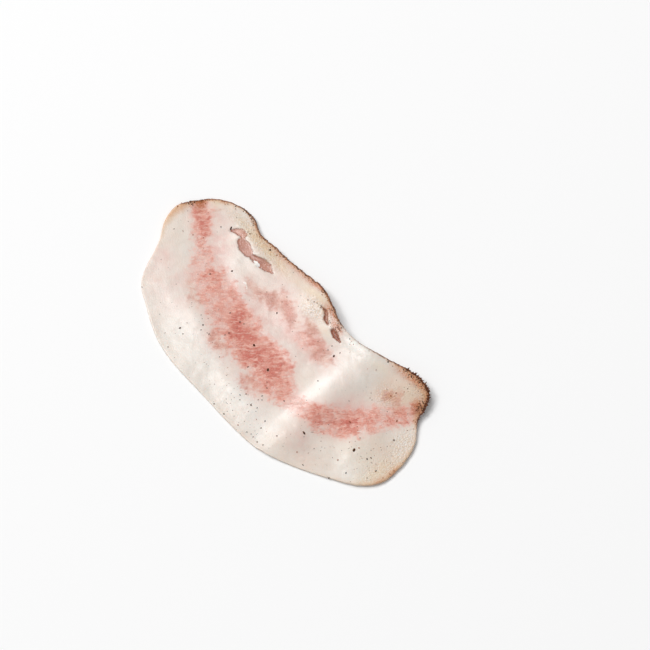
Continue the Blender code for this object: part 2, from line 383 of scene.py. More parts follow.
def outline_from_frame(tree, below):
    """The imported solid's outline seen from above, as evenly spaced points."""
    up = Vector((0.0, 0.0, 1.0))
    points = []
    for ray in range(OUTLINE_RAYS):
        angle = 2.0 * math.pi * ray / OUTLINE_RAYS
        heading = Vector((math.cos(angle), math.sin(angle)))
        inside, outside = OUTLINE_SEARCH
        for _ in range(OUTLINE_HALVINGS):
            radius = (inside + outside) / 2.0
            place = STAR_CENTRE + heading * radius
            hit = tree.ray_cast(Vector((place.x, place.y, below)), up)
            if hit[0] is None:
                outside = radius
            else:
                inside = radius
        points.append(tuple(STAR_CENTRE + heading * inside))
    return soften_loop(even_loop(np.array(points)))


def loop_lengths(loop):
    """How far along a closed loop each point lies, and last the loop's whole length."""
    steps = np.linalg.norm(np.roll(loop, -1, axis=0) - loop, axis=1)
    return np.concatenate(([0.0], np.cumsum(steps)))


def even_loop(loop):
    """A closed loop read again at even spacing."""
    reached = loop_lengths(loop)
    closed = np.vstack((loop, loop[:1]))
    count = int(reached[-1] / OUTLINE_STEP)
    wanted = np.arange(count) * reached[-1] / count
    return np.column_stack([np.interp(wanted, reached, closed[:, axis]) for axis in (0, 1)])


def soften_loop(loop):
    """A loop averaged along itself, so that the solid's facets don't show."""
    reach = int(3.0 * OUTLINE_SOFTENING / OUTLINE_STEP)
    offsets = np.arange(-reach, reach + 1)
    weights = np.exp(-0.5 * (offsets * OUTLINE_STEP / OUTLINE_SOFTENING) ** 2)
    weights /= weights.sum()
    return sum(w * np.roll(loop, -offset, axis=0) for w, offset in zip(weights, offsets))


def outward_normals(loop):
    """The outward direction at each point of a counter-clockwise loop."""
    tangent = np.roll(loop, -1, axis=0) - np.roll(loop, 1, axis=0)
    tangent /= np.linalg.norm(tangent, axis=1)[:, None]
    return np.column_stack((tangent[:, 1], -tangent[:, 0]))


def nearest_index(loop, place):
    return int(np.argmin(np.linalg.norm(loop - np.array(place), axis=1)))


def stretch(loop, start, end, cells):
    """The part of a loop from one index forward to another, as cells + 1 even points."""
    if end <= start:
        end += len(loop)
    part = loop[np.arange(start, end + 1) % len(loop)]
    reached = np.concatenate(([0.0], np.cumsum(np.linalg.norm(np.diff(part, axis=0), axis=1))))
    wanted = np.linspace(0.0, reached[-1], cells + 1)
    return np.column_stack([np.interp(wanted, reached, part[:, axis]) for axis in (0, 1)])


def surface_grid(loop):
    """A grid of places that fills the loop, with its first index along X, evened out."""
    first, second, third, fourth = (nearest_index(loop, corner) for corner in CORNERS)
    free = stretch(loop, first, second, CELLS_ALONG)
    broad = stretch(loop, second, third, CELLS_ACROSS)
    crusted = stretch(loop, third, fourth, CELLS_ALONG)[::-1]
    narrow = stretch(loop, fourth, first, CELLS_ACROSS)[::-1]
    along = np.linspace(0.0, 1.0, CELLS_ALONG + 1)[:, None, None]
    across = np.linspace(0.0, 1.0, CELLS_ACROSS + 1)[None, :, None]
    between_sides = free[:, None] * (1 - across) + crusted[:, None] * across
    between_ends = narrow[None] * (1 - along) + broad[None] * along
    corners = (
        (free[0] * (1 - along) + free[-1] * along) * (1 - across)
        + (crusted[0] * (1 - along) + crusted[-1] * along) * across
    )
    grid = between_sides + between_ends - corners
    for _ in range(EVENING_PASSES):
        grid[1:-1, 1:-1] = neighbour_mean(grid)
    return grid


def neighbour_mean(grid):
    return (grid[:-2, 1:-1] + grid[2:, 1:-1] + grid[1:-1, :-2] + grid[1:-1, 2:]) / 4.0


def rim_order():
    """Grid indices around the rim, counter-clockwise, each place once."""
    along, across = CELLS_ALONG, CELLS_ACROSS
    free = [(column, 0) for column in range(along)]
    broad = [(along, row) for row in range(across)]
    crusted = [(column, across) for column in range(along, 0, -1)]
    narrow = [(0, row) for row in range(across, 0, -1)]
    return np.array(free + broad + crusted + narrow)


def rim_readings(loop, places):
    """Each place's distance from the outline, and the index of the outline's nearest point."""
    finder = KDTree(len(loop))
    for index, (x, y) in enumerate(loop):
        finder.insert((x, y, 0.0), index)
    finder.balance()
    found = [finder.find((x, y, 0.0)) for x, y in places]
    return np.array([hit[2] for hit in found]), np.array([hit[1] for hit in found])


def rim_mark_values(loop):
    """Crust, tan and width of the tan band at each point of the outline."""
    marks = sorted((nearest_index(loop, mark[:2]), mark[2:]) for mark in RIM_MARKS)
    positions = np.array([index for index, _ in marks], float)
    values = np.array([value for _, value in marks])
    positions = np.concatenate((positions - len(loop), positions, positions + len(loop)))
    values = np.vstack((values, values, values))
    wanted = np.arange(len(loop))
    return [np.interp(wanted, positions, values[:, column]) for column in range(3)]


# --- the slice itself

def mesh_tree(piece):
    """A mesh in millimetres, ready for ray casts."""
    vertices = [vertex.co / METRES for vertex in piece.data.vertices]
    return BVHTree.FromPolygons(vertices, [tuple(face.vertices) for face in piece.data.polygons])


def heights_from_frame(tree, outline, places, low, high):
    """The solid's underside and upper face at each place, read a little way inside its rim."""
    distance, nearest = rim_readings(outline, places)
    inner = (outline - outward_normals(outline) * RIM_SAMPLING)[nearest]
    read_at = np.where((distance < RIM_SAMPLING)[:, None], inner, places)
    under = np.empty(len(places))
    upper = np.empty(len(places))
    up = Vector((0.0, 0.0, 1.0))
    for index, (x, y) in enumerate(read_at):
        under[index] = tree.ray_cast(Vector((x, y, low - RAY_CLEARANCE)), up)[0].z
        upper[index] = tree.ray_cast(Vector((x, y, high + RAY_CLEARANCE)), -up)[0].z
    return under, upper


def smooth_heights(grid):
    """Heights averaged with their neighbours, on the rim as well."""
    for _ in range(HEIGHT_PASSES):
        grid = (grid + neighbour_mean(np.pad(grid, 1, mode="edge"))) / 2.0
    return grid


def ragged_outline(loop, crust):
    """The outline with the fine unevenness of its edge: strong where it is crusted."""
    normals = outward_normals(loop)
    reached = loop_lengths(loop)[:-1]
    turns = reached / reached[-1] * 2.0 * math.pi
    circle = np.column_stack((np.cos(turns), np.sin(turns))) * (reached[-1] / (2.0 * math.pi))
    coarse = roughness_at(circle, 3.2, 2)
    fine = roughness_at(circle, 0.9, 2, layer=3.0)
    serration = crust ** 3 * smoothstep(40.0, 50.0, loop[:, 0])
    shift = coarse * (0.12 + 0.28 * crust) + fine * (0.02 + 0.14 * crust)
    shift -= serration * 0.9 * np.abs(roughness_at(circle, 1.5, 1, layer=7.0))
    return loop + normals * shift[:, None]


def slice_fields(places, distance, nearest, marks):
    """Everything that the materials and the relief read, by name."""
    depths = np.array([streak_depth(places, streak) for streak, _ in STREAKS])
    strengths = np.array([strength for _, strength in STREAKS])
    pull = np.exp(np.clip(depths, -12.0, 6.0) / 1.2)
    fields = {
        "lean_depth": np.log(np.exp(np.clip(depths, -12.0, 12.0) / 0.6).sum(axis=0)) * 0.6,
        "lean_strength": (pull * strengths[:, None]).sum(axis=0) / pull.sum(axis=0),
        "membrane_depth": np.max([streak_depth(places, one) for one in MEMBRANES], axis=0),
        "split_depth": np.max([streak_depth(places, one) for one in SPLITS], axis=0),
        "rim_distance": distance,
    }
    for name, values in zip(("crust", "tan", "tan_width"), marks):
        fields[name] = values[nearest]
    for name, patches in PATCHES.items():
        fields[name] = patch_strength(places, patches)
    # The paler patches, painted glare among them, are taken away from the deeper ones.
    fields["deep_tone_and_glare"] -= fields.pop("pale_tone_and_glare")
    return fields


def upper_relief(places, fields):
    """What stands above or below the smooth upper face, in millimetres."""
    relief = patch_strength(places, SWELLS)
    for height, size, octaves, layer in UNEVENNESS:
        relief += height * roughness_at(places, size, octaves, layer=layer)
    lean = smoothstep(-0.5, 1.5, fields["lean_depth"]) * fields["lean_strength"]
    fibres = roughness_at(places, 1.25, 2, along=3.5, turn=FIBRE_TURN, layer=11.0)
    relief += lean * (0.07 * fibres - 0.05)
    grains = roughness_at(places, 1.3, 2, layer=17.0)
    relief += 0.10 * np.clip(fields["grainy"], 0.0, 1.0) * grains
    relief += 0.45 * np.clip(fields["fleck_and_glint"], 0.0, 1.2) * np.abs(grains + 0.4)
    relief -= MEMBRANE_SINK * smoothstep(-0.15, 0.55, fields["membrane_depth"])
    relief -= SPLIT_SINK * smoothstep(-0.25, 0.6, fields["split_depth"])
    crusted = fields["crust"] * (1.0 - smoothstep(0.0, 1.4, fields["rim_distance"]))
    relief += crusted * 0.16 * roughness_at(places, 0.9, 2, layer=23.0)
    return relief


def rim_rings(places, top, bottom, crust):
    """Rings of points that round out between the upper face and the underside."""
    outward = outward_normals(places)
    rings = []
    for ring in range(1, RIM_RINGS + 1):
        angle = math.pi * (0.5 - ring / (RIM_RINGS + 1))
        crumble = roughness_at(places, 0.8, 2, layer=40.0 + ring * 0.6) * crust * 0.22
        reach = math.cos(angle) * (RIM_BULGE + crumble)
        height = (top + bottom) / 2.0 + (top - bottom) / 2.0 * math.sin(angle)
        rings.append(np.column_stack((places + outward * reach[:, None], height)))
    return rings


def grid_faces(rows, columns, offset):
    """Quads of a grid whose points run row by row, facing up."""
    corner = np.arange(rows * columns).reshape(rows, columns) + offset
    quads = np.stack((corner[:-1, :-1], corner[1:, :-1], corner[1:, 1:], corner[:-1, 1:]), -1)
    return quads.reshape(-1, 4)


def slice_faces(shape, rim_index):
    """Quads of the upper face, the underside and the rings of the rim."""
    count = shape[0] * shape[1]
    around = np.arange(len(rim_index))
    loops = [rim_index]
    loops += [2 * count + ring * len(around) + around for ring in range(RIM_RINGS)]
    loops.append(rim_index + count)
    faces = [grid_faces(*shape, 0), grid_faces(*shape, count)[:, ::-1]]
    for high, low in zip(loops, loops[1:]):
        faces.append(np.column_stack((high, low, np.roll(low, -1), np.roll(high, -1))))
    return np.vstack(faces)


def store_fields(mesh, fields, rim_index):
    """Writes each field on the mesh's points, for the materials to read."""
    for name, values in fields.items():
        around = np.tile(values[rim_index], RIM_RINGS)
        if name == "rim_distance":
            around[:] = 0.0
        everywhere = np.concatenate((values, values, around)).astype(np.float32)
        mesh.attributes.new(name, "FLOAT", "POINT").data.foreach_set("value", everywhere)


def build_slice(node):
    tree = mesh_tree(node)
    lowest, highest = (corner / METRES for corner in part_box(NODE))
    outline = outline_from_frame(tree, lowest.z - RAY_CLEARANCE)
    edge = ragged_outline(outline, rim_mark_values(outline)[0])
    marks = rim_mark_values(edge)
    grid = surface_grid(edge - outward_normals(edge) * RIM_BULGE)
    shape = grid.shape[:2]
    places = grid.reshape(-1, 2)
    heights = heights_from_frame(tree, outline, places, lowest.z, highest.z)
    under, upper = (smooth_heights(part.reshape(shape)).ravel() for part in heights)

    fields = slice_fields(places, *rim_readings(edge, places), marks)
    top = upper + upper_relief(places, fields)
    bottom = under + UNDERSIDE_LUMPS * (1.0 + roughness_at(places, 4.0, 2, layer=31.0))
    bottom = np.clip(np.minimum(bottom, top - LEAST_THICKNESS), 0.0, None)
    rim_index = rim_order() @ np.array((shape[1], 1))
    rim = [values[rim_index] for values in (places, top, bottom, fields["crust"])]
    points = [np.column_stack((places, top)), np.column_stack((places, bottom))]
    vertices = np.vstack(points + rim_rings(*rim))

    mesh = bpy.data.meshes.new("guanciale")
    mesh.from_pydata((vertices * METRES).tolist(), [], slice_faces(shape, rim_index).tolist())
    mesh.validate()
    mesh.shade_smooth()
    store_fields(mesh, fields, rim_index)
    return linked("guanciale", mesh), edge, marks[0]


# --- materials

class Shade:
    """A short way to write one material's nodes."""

    def __init__(self, name):
        self.material = bpy.data.materials.new(name)
        self.material.use_nodes = True
        self.tree = self.material.node_tree
        self.shader = self.tree.nodes["Principled BSDF"]
        objects = self.node("ShaderNodeTexCoord").outputs["Object"]
        self.place = self.vector("SCALE", objects, scale=1.0 / METRES)

    def node(self, kind, **settings):
        made = self.tree.nodes.new(kind)
        for name, value in settings.items():
            setattr(made, name, value)
        return made

    def feed(self, socket, value):
        if isinstance(value, bpy.types.NodeSocket):
            self.tree.links.new(value, socket)
        else:
            socket.default_value = value

    def finish(self, values):
        """Feeds the shader's own sockets by name, and gives the material."""
        for name, value in values.items():
            self.feed(self.shader.inputs[name], value)
        return self.material

    def attribute(self, name):
        return self.node("ShaderNodeAttribute", attribute_name=name).outputs["Fac"]

    def maths(self, operation, first, second, clamp=False):
        made = self.node("ShaderNodeMath", operation=operation, use_clamp=clamp)
        self.feed(made.inputs[0], first)
        self.feed(made.inputs[1], second)
        return made.outputs[0]

    def plus(self, first, *others):
        for other in others:
            first = self.maths("ADD", first, other)
        return first

    def times(self, first, second, clamp=False):
        return self.maths("MULTIPLY", first, second, clamp)

    def vector(self, operation, first, second=(0.0, 0.0, 0.0), scale=1.0):
        made = self.node("ShaderNodeVectorMath", operation=operation)
        self.feed(made.inputs[0], first)
        self.feed(made.inputs[1], second)
        if operation == "SCALE":
            made.inputs["Scale"].default_value = scale
        return made.outputs[0]

    def turned(self, place, angle, stretch):
        """A place in axes turned by angle, with each axis scaled."""
        made = self.node("ShaderNodeVectorRotate", rotation_type="Z_AXIS")
        self.feed(made.inputs["Vector"], place)
        made.inputs["Angle"].default_value = -angle
        return self.vector("MULTIPLY", made.outputs[0], stretch)

    def noise_node(self, place, scale, detail, rough=0.5):
        made = self.node("ShaderNodeTexNoise")
        self.feed(made.inputs["Vector"], place)
        made.inputs["Scale"].default_value = scale
        made.inputs["Detail"].default_value = detail
        made.inputs["Roughness"].default_value = rough
        return made

    def noise(self, place, scale, detail=3.0, rough=0.55):
        return self.noise_node(place, scale, detail, rough).outputs["Fac"]

    def warp(self, place, scale, reach):
        """A place moved about by up to reach millimetres, for wavy patterns."""
        shifts = self.noise_node(place, scale, 1.0).outputs["Color"]
        centred = self.vector("SUBTRACT", shifts, (0.5, 0.5, 0.5))
        return self.vector("ADD", place, self.vector("SCALE", centred, scale=2.0 * reach))

    def cells(self, place, scale):
        made = self.node("ShaderNodeTexVoronoi")
        self.feed(made.inputs["Vector"], place)
        made.inputs["Scale"].default_value = scale
        return made

    def ramp(self, value, low, high, start=0.0, end=1.0, smooth=True):
        kind = "SMOOTHSTEP" if smooth else "LINEAR"
        made = self.node("ShaderNodeMapRange", interpolation_type=kind)
        for socket, number in zip(made.inputs, (value, low, high, start, end)):
            self.feed(socket, number)
        return made.outputs[0]

    def blend(self, share, under, over):
        made = self.node("ShaderNodeMix", data_type="RGBA")
        self.feed(made.inputs["Factor"], share)
        self.feed(made.inputs[6], under)
        self.feed(made.inputs[7], over)
        return made.outputs[2]

    def tint(self, under, share, over, weight=1.0):
        """A colour taken towards another by share times weight, and no further than it."""
        return self.blend(self.times(share, weight, clamp=True), under, over)

    def bump(self, height, reach, normal=None):
        made = self.node("ShaderNodeBump")
        made.inputs["Strength"].default_value = 1.0
        made.inputs["Distance"].default_value = reach * METRES
        self.feed(made.inputs["Height"], height)
        if normal is not None:
            self.feed(made.inputs["Normal"], normal)
        return made.outputs["Normal"]


FAT_CREAM = srgb(226, 215, 205)
# Whiter fat, also used as painted highlight.
FAT_WHITE_AND_HIGHLIGHT = srgb(240, 235, 229)
# Beige fat, also used as painted shade beyond the crest.
FAT_BEIGE_AND_SHADE = srgb(212, 188, 168)
FAT_PINK = srgb(220, 184, 174)
FAT_YELLOW = srgb(226, 206, 168)
# Greyer fat, also used as painted shade beyond the crest.
FAT_GREY_AND_SHADE = srgb(208, 203, 194)
LEAN_FAINT_PALE = srgb(222, 176, 158)
LEAN_FAINT_DEEP = srgb(203, 139, 120)
LEAN_PALE = srgb(238, 198, 187)
LEAN_SALMON = srgb(230, 163, 146)
LEAN_DEEP = srgb(210, 118, 102)
LEAN_STRAND = srgb(244, 200, 184)
MEMBRANE_ROSE = srgb(184, 120, 98)
MEMBRANE_DEEP = srgb(166, 100, 78)
MEMBRANE_EDGE = srgb(128, 72, 54)
TAN = srgb(214, 174, 130)
ORANGE_BROWN = srgb(188, 110, 66)
CRUST_BROWN = srgb(134, 74, 46)
CRUST_DARK = srgb(66, 40, 30)
CHAR_BROWN = srgb(98, 54, 38)
SPLIT_BROWN = srgb(166, 98, 72)
SPLIT_DARK = srgb(92, 52, 38)
DUST_BROWN = srgb(96, 62, 46)
# The loose grains by the name of their material: (dark, light, roughness).
GRAIN_LOOKS = {
    "char": (srgb(58, 34, 24), srgb(124, 70, 46), 0.8),
    "pepper": (srgb(48, 29, 20), srgb(98, 64, 45), 0.9),
    "spice": (srgb(120, 60, 38), srgb(176, 100, 64), 0.8),
    "crust": (srgb(132, 78, 48), srgb(190, 134, 92), 0.85),
}


class Patterns:
    """The noises that several parts of the slice's look share."""

    def __init__(self, s):
        fibre_place = s.turned(s.warp(s.place, 0.35, 0.9), FIBRE_TURN, (0.34, 1.0, 1.0))
        self.long_fibres = s.noise(fibre_place, 0.85, 3.0, 0.6)
        self.short_fibres = s.noise(fibre_place, 2.3, 3.0, 0.65)
        self.clouds = s.noise(s.place, 0.22, 4.0)
        self.patches = s.noise(s.place, 0.22, 1.5, 0.45)
        self.lumps = s.noise(s.place, 0.55, 1.5, 0.45)
        self.fine = s.noise(s.place, 1.6, 4.0, 0.6)
        self.speckle = s.noise(s.place, 2.2, 3.0, 0.7)
        self.grains = s.cells(s.place, 1.35).outputs["Distance"]
        self.grainy = s.times(s.attribute("grainy"), 1.0, clamp=True)


def fat_colour(s, p):
    """White through cream to beige, with a pink haze."""
    broad = s.noise(s.place, 0.07, 2.0)
    # Beige tone, with painted shade on the slope beyond the crest.
    warm_tone_and_shade = s.plus(s.attribute("warm_tone_and_shade"), s.ramp(broad, 0.45, 0.75, 0.0, 0.3))
    colour = s.blend(s.ramp(warm_tone_and_shade, 0.0, 1.1, smooth=False), FAT_CREAM, FAT_BEIGE_AND_SHADE)
    pink = s.times(s.attribute("pink"), s.ramp(p.clouds, 0.3, 0.7, 0.45, 1.3))
    near_lean = s.ramp(s.attribute("lean_depth"), -6.0, 1.0, 0.0, 0.6)
    pink = s.plus(pink, s.times(near_lean, s.attribute("lean_strength")))
    colour = s.tint(colour, pink, FAT_PINK, 0.9)
    # Greyer in random places and, as painted shade, on the slope beyond the crest.
    grey_and_shade = s.plus(s.attribute("grey_tone_and_shade"), s.ramp(broad, 0.52, 0.30, 0.0, 0.5))
    colour = s.tint(colour, grey_and_shade, FAT_GREY_AND_SHADE, 0.6)
    yellow = s.times(s.attribute("yellowed"), s.ramp(p.clouds, 0.3, 0.6, 0.4, 1.0))
    colour = s.tint(colour, yellow, FAT_YELLOW, 0.8)
    # Whiter fat, partly painted highlight and painted light on shaded parts.
    white = s.times(s.attribute("white"), s.ramp(p.clouds, 0.3, 0.65, 0.35, 1.0))
    return s.tint(colour, white, FAT_WHITE_AND_HIGHLIGHT, 0.85)


def lean_cover(s, p):
    """How far inside the frayed lean each place lies, and how much of it is lean."""
    inside = s.plus(
        s.attribute("lean_depth"),
        s.ramp(p.patches, 0.30, 0.70, -1.4, 1.4, False),
        s.ramp(p.lumps, 0.30, 0.70, -1.0, 1.0, False),
        s.ramp(p.long_fibres, 0.25, 0.75, -1.1, 1.1, False),
        s.ramp(p.short_fibres, 0.25, 0.75, -0.5, 0.5, False),
    )
    strength = s.maths("POWER", s.attribute("lean_strength"), 0.6)
    return inside, s.times(s.ramp(inside, -2.9, 1.8), strength, clamp=True)


def lean_colour(s, p, inside):
    """Clouds of deeper colour, fine strands, a fainter colour where the lean is weak, and paler
    lean where glare is painted as a highlight.
    """
    tone = s.plus(
        s.times(p.patches, 0.60),
        s.times(p.lumps, 0.22),
        s.times(p.long_fibres, 0.28),
        s.times(p.short_fibres, 0.16),
        s.ramp(inside, 0.0, 7.0, -0.04, 0.14),
        # Lower where the paler patches paint glare on the lean as a highlight.
        s.times(s.attribute("deep_tone_and_glare"), 0.11),
    )
    meat = s.blend(s.ramp(tone, 0.44, 0.70), LEAN_PALE, LEAN_SALMON)
    meat = s.blend(s.ramp(tone, 0.66, 0.92), meat, LEAN_DEEP)
    strand_place = s.turned(s.warp(s.place, 0.25, 1.3), FIBRE_TURN, (0.27, 1.0, 1.0))
    strands = s.noise(strand_place, 1.1, 3.0, 0.6)
    meat = s.blend(s.ramp(strands, 0.46, 0.34, 0.0, 0.22), meat, LEAN_DEEP)
    meat = s.blend(s.ramp(strands, 0.50, 0.64, 0.0, 0.62), meat, LEAN_STRAND)
    faint = s.blend(s.ramp(p.patches, 0.38, 0.62), LEAN_FAINT_PALE, LEAN_FAINT_DEEP)
    return s.blend(s.ramp(s.attribute("lean_strength"), 0.62, 0.95), faint, meat)


def rim_colour(s, p, colour):
    """Tan, brown and char towards the rim; also gives how much of each place is crust."""
    uneven = s.ramp(s.noise(s.place, 0.9, 3.0, 0.6), 0.25, 0.75, -0.5, 0.5, False)
    from_rim = s.plus(s.attribute("rim_distance"), uneven)
    tan_reach = s.maths("DIVIDE", from_rim, s.attribute("tan_width"))
    tan = s.times(s.ramp(tan_reach, 0.0, 1.1, 1.0, 0.0), s.attribute("tan"))
    colour = s.tint(colour, tan, TAN)
    grit = s.noise(s.place, 1.7, 3.0, 0.7)
    browned = s.times(s.attribute("browned"), s.ramp(grit, 0.32, 0.62, 0.35, 1.15))
    crusted_tan = s.times(s.attribute("tan"), s.attribute("crust"))
    brown_tan = s.times(s.ramp(tan_reach, 0.1, 0.7, 1.0, 0.0), crusted_tan)
    colour = s.tint(colour, s.maths("MAXIMUM", browned, brown_tan), ORANGE_BROWN, 0.9)
    ragged = s.ramp(p.speckle, 0.3, 0.75, 0.15, -0.75, False)
    crust_reach = s.plus(s.attribute("rim_distance"), ragged)
    crust = s.times(s.ramp(crust_reach, 0.0, 0.75, 0.95, 0.0),
                    s.ramp(s.attribute("crust"), 0.1, 0.7))
    charred = s.times(s.attribute("charred"), s.ramp(p.speckle, 0.36, 0.56))
    dark = s.maths("MAXIMUM", s.ramp(p.speckle, 0.50, 0.62), charred, clamp=True)
    colour = s.blend(crust, colour, s.blend(dark, CRUST_BROWN, CRUST_DARK))
    return s.tint(colour, charred, CHAR_BROWN, 0.6), crust


def hollow_colour(s, p, colour):
    """Membranes, splits, and raised flecks of fat that are painted white as glints; also gives
    how much of each place is membrane.
    """
    ripple = s.ramp(p.fine, 0.3, 0.7, -0.35, 0.35, False)
    film_depth = s.plus(s.attribute("membrane_depth"), ripple)
    film = s.ramp(film_depth, -0.25, 0.45)
    film_colour = s.blend(s.ramp(p.clouds, 0.36, 0.62), MEMBRANE_ROSE, MEMBRANE_DEEP)
    film_colour = s.blend(s.ramp(p.lumps, 0.5, 0.68, 0.0, 0.6), film_colour, MEMBRANE_ROSE)
    film_colour = s.blend(s.ramp(film_depth, 0.0, 0.8), MEMBRANE_EDGE, film_colour)
    colour = s.tint(colour, film, film_colour, 0.92)
    split = s.ramp(s.plus(s.attribute("split_depth"), ripple), -0.45, 0.35)
    split_colour = s.blend(s.ramp(p.speckle, 0.45, 0.65), SPLIT_BROWN, SPLIT_DARK)
    colour = s.blend(split, colour, split_colour)
    # Flecks painted white as glints.
    fleck_and_glint = s.plus(s.attribute("fleck_and_glint"), s.ramp(p.lumps, 0.3, 0.7, -0.3, 0.3))
    return s.blend(s.ramp(fleck_and_glint, 0.4, 0.7), colour, FAT_WHITE_AND_HIGHLIGHT), film


def grain_colour(s, p, colour):
    """Tan between the grains of the dry fat near the crust, and fine pepper dust."""
    between = s.times(s.ramp(p.grains, 0.38, 0.62), p.grainy)
    colour = s.tint(colour, between, TAN, 0.5)
    dust = s.cells(s.place, 0.85)
    chance = s.node("ShaderNodeSeparateColor")
    s.feed(chance.inputs[0], dust.outputs["Color"])
    wanted = s.plus(s.times(s.attribute("dusty"), 0.22, clamp=True), 0.02)
    chosen = s.maths("LESS_THAN", chance.outputs[0], wanted)
    grain = s.times(s.ramp(dust.outputs["Distance"], 0.12, 0.24, 1.0, 0.0), chosen)
    return s.tint(colour, grain, DUST_BROWN, 0.8)


def roughness(s, p, lean, crust, film):
    """Dull on the crust, glossier on the whitest fat, the paler lean and the membranes."""
    rough = s.plus(
        s.ramp(p.clouds, 0.3, 0.7, 0.32, 0.44, False),
        s.times(lean, 0.04),
        s.times(crust, 0.35),
        s.times(s.attribute("white"), -0.08),
        s.times(lean, s.ramp(s.attribute("deep_tone_and_glare"), 0.0, -1.6, 0.0, -0.10)),
    )
    return s.maths("SUBTRACT", rough, s.times(film, 0.16), clamp=True)


def fine_relief(s, p, lean, crust):
    """Relief too fine for the mesh, as (height, reach in millimetres) one upon another."""
    normal = None
    for height, reach in (
        (s.times(lean, s.plus(p.short_fibres, p.long_fibres, -1.0)), 0.4),
        (s.times(p.grains, p.grainy), 0.35),
        (p.fine, 0.14),
        (s.noise(s.place, 4.0, 2.0), 0.06),
        (s.times(lean, s.plus(s.noise(s.place, 2.8, 2.0), -0.5)), 0.25),
        (s.times(p.speckle, crust), 0.5),
    ):
        normal = s.bump(height, reach, normal)
    return normal


def cured_pork():
    s = Shade("cured_pork")
    p = Patterns(s)
    inside, lean = lean_cover(s, p)
    colour = s.blend(lean, fat_colour(s, p), lean_colour(s, p, inside))
    colour, crust = rim_colour(s, p, colour)
    colour, film = hollow_colour(s, p, colour)
    return s.finish({
        "Base Color": grain_colour(s, p, colour),
        "Roughness": roughness(s, p, lean, crust, film),
        "Normal": fine_relief(s, p, lean, crust),
        "Subsurface Weight": 0.35,
        "Subsurface Radius": (1.0, 0.75, 0.65),
        "Subsurface Scale": 1.6 * METRES,
        "Specular IOR Level": 0.5,
        "Coat Weight": 0.35,
        "Coat Roughness": 0.2,
    })


def grain_material(name):
    s = Shade(name)
    dark, light, dullness = GRAIN_LOOKS[name]
    mottled = s.noise(s.place, 2.6, 3.0, 0.6)
    return s.finish({
        "Base Color": s.blend(s.ramp(mottled, 0.35, 0.65), dark, light),
        "Roughness": s.ramp(mottled, 0.3, 0.7, dullness, dullness - 0.2),
        "Normal": s.bump(s.noise(s.place, 6.0, 2.0), 0.08),
        "Specular IOR Level": 0.12,
    })


# --- specks and crumbs

def seen_at(tree, column, row):
    """The point of the slice that shows at a pixel of the photograph, or None."""
    reach = SENSOR_WIDTH / 2.0 / CAMERA_LENS
    middle = PHOTO_SIDE / 2.0
    up = RIGHT.cross(LOOK)
    right_share = (column - middle) / middle * reach
    down_share = (row - middle) / middle * reach
    eye = CAMERA_TARGET - LOOK * CAMERA_DISTANCE
    return tree.ray_cast(eye, (LOOK + RIGHT * right_share - up * down_share).normalized())[0]


def on_top(tree, x, y):
    """The upper face's point and normal at a place, or None beside the slice."""
    point, normal, _, _ = tree.ray_cast(Vector((x, y, RAY_TOP)), Vector((0.0, 0.0, -1.0)))
    return None if point is None else (point, normal)


def chosen_specks(tree, specks):
    """The specks of a list that lie on the slice, as (place, normal, size)."""
    grains = []
    for column, row, size in specks:
        point = seen_at(tree, column, row)
        found = None if point is None else on_top(tree, point.x, point.y)
        if found is not None:
            grains.append((*found, size * SPECK_SCALE + SPECK_EXTRA))
    return grains


def scattered_specks(tree, count, sizes, draw):
    """Grains thrown at random, thickest where the slice is dusty."""
    grains = []
    lowest, highest = (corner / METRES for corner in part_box(NODE))
    while len(grains) < count:
        x = draw.uniform(lowest.x, highest.x)
        y = draw.uniform(lowest.y, highest.y)
        keep = patch_strength(np.array(((x, y),)), PATCHES["dusty"])[0] + CLEAN_CHANCE
        found = on_top(tree, x, y)
        if found is not None and draw.random() < keep:
            grains.append((*found, draw.uniform(*sizes) * draw.uniform(0.7, 1.2)))
    return grains


def crumb_clusters(tree, draw):
    """Dark crumbs thrown around each cluster's middle, where they land on the slice."""
    grains = []
    for x, y, spread, count in DARK_CLUSTERS:
        for _ in range(count):
            place = (draw.gauss(x, spread), draw.gauss(y, spread))
            found = on_top(tree, *place)
            if found is not None:
                grains.append((*found, draw.uniform(*CLUSTER_SIZES)))
    return grains


def rim_crumbs(tree, edge, crust, count, draw):
    """Crumbs of crust along the crusted stretches of the rim, the outermost on its wall."""
    outward = outward_normals(edge)
    grains = []
    for index in draw.choices(range(len(edge)), weights=crust ** 2.2, k=count):
        inset = abs(draw.gauss(0.0, 0.9)) + 0.1
        x, y = edge[index] - outward[index] * inset
        found = on_top(tree, x, y)
        if found is None:
            continue
        point, normal = found
        if inset < 0.5:
            tilt = Vector((*outward[index], 0.0))
            point = point + tilt * (0.45 - inset) - Vector((0.0, 0.0, draw.uniform(0.1, 1.1)))
            normal = (normal + tilt * 2.0).normalized()
        grains.append((point, normal, draw.uniform(*RIM_CRUMB_SIZES)))
    return grains


def rim_shreds(tree, edge, draw):
    """Charred shreds that stand out of the serrated rim, as (root, way, length)."""
    outward = outward_normals(edge)
    first, last = (nearest_index(edge, place) for place in SHREDDED_RIM)
    shreds = []
    for _ in range(SHREDS):
        index = draw.randrange(first, last)
        x, y = edge[index] - outward[index] * draw.uniform(0.4, 1.0)
        found = on_top(tree, x, y)
        if found is None:
            continue
        along = Vector((-outward[index][1], outward[index][0], 0.0))
        way = Vector((*outward[index], draw.uniform(-0.1, 0.6))) + along * draw.uniform(-1.4, 0.6)
        shreds.append((found[0] - Vector((0.0, 0.0, 0.12)), way, draw.uniform(*SHRED_LENGTHS)))
    return shreds


